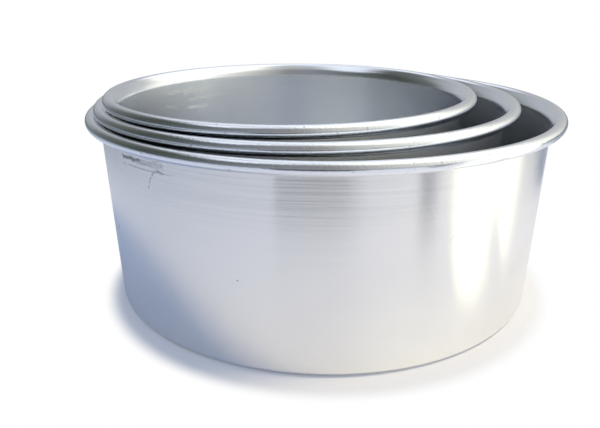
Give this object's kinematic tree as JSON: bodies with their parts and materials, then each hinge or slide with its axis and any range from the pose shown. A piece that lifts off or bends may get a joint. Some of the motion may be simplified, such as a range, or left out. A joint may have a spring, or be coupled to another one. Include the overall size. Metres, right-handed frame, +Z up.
{
  "type": "nest of round cake tins",
  "caption": "Round spun aluminium cake tins with flared, rolled rims, standing one inside the next, each free to lift out.",
  "frame": {"origin": "on the large tin's axis, in the plane that its floor rests on", "axes": "+Z up along the tins' axes, +Y away from the viewer of the picture, +X to that viewer's right"},
  "size_m": [0.2176, 0.2176, 0.0946],
  "materials": {
    "spun_aluminium": "bright spun sheet with fine turning lines round the walls"
  },
  "bodies": {
    "large_tin": {"large_tin": "spun_aluminium"},
    "medium_tin": {"medium_tin": "spun_aluminium"},
    "small_tin": {"small_tin": "spun_aluminium"}
  },
  "joints": [
    {"name": "medium_lift", "type": "slide", "parent": "large_tin", "child": "medium_tin", "axis": [0, 0, 1], "range_m": [0, 0.0866]},
    {"name": "small_lift", "type": "slide", "parent": "medium_tin", "child": "small_tin", "axis": [0, 0, 1], "range_m": [0, 0.0896]}
  ]
}
